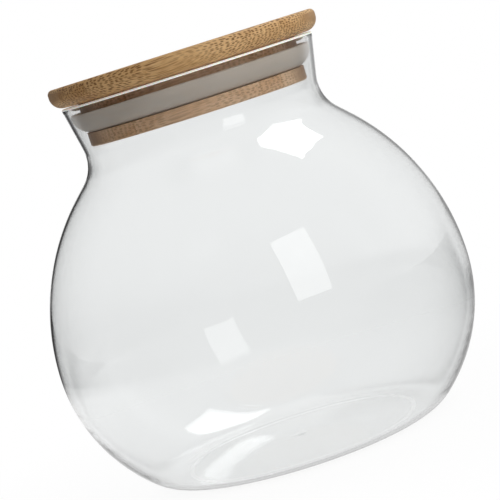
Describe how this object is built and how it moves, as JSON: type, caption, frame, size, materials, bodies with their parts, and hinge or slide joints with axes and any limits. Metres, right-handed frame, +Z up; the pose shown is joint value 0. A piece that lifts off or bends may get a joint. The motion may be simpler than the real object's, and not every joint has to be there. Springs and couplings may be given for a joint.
{
  "type": "food canister",
  "caption": "Round-bellied clear glass storage jar with a flared neck and a lift-off bamboo lid whose plug carries a silicone seal ring; keeps dry food closed.",
  "frame": {"origin": "centre of the foot ring, on the surface that the jar stands on", "axes": "+Z up along the jar's axis, +X along the grain of the bamboo lid"},
  "size_m": [0.184, 0.184, 0.1791],
  "materials": {
    "glass": "clear blown borosilicate, fire polished",
    "bamboo": "sanded and oiled, satin",
    "silicone": "moulded translucent silicone, matt"
  },
  "bodies": {
    "jar": {"glass_jar": "glass"},
    "lid": {"lid_strip_1": "bamboo", "lid_strip_2": "bamboo", "lid_strip_3": "bamboo", "lid_strip_4": "bamboo", "lid_strip_5": "bamboo", "lid_strip_6": "bamboo", "lid_strip_7": "bamboo", "plug_strip_1": "bamboo", "plug_strip_2": "bamboo", "plug_strip_3": "bamboo", "plug_strip_4": "bamboo", "plug_strip_5": "bamboo", "plug_strip_6": "bamboo", "plug_strip_7": "bamboo", "plug_strip_8": "bamboo", "plug_strip_9": "bamboo", "plug_strip_10": "bamboo", "plug_strip_11": "bamboo", "plug_strip_12": "bamboo", "seal_ring": "silicone"}
  },
  "joints": [
    {"name": "lid_lift", "type": "slide", "parent": "jar", "child": "lid", "axis": [0, 0, 1], "range_m": [0, 0.06]}
  ]
}
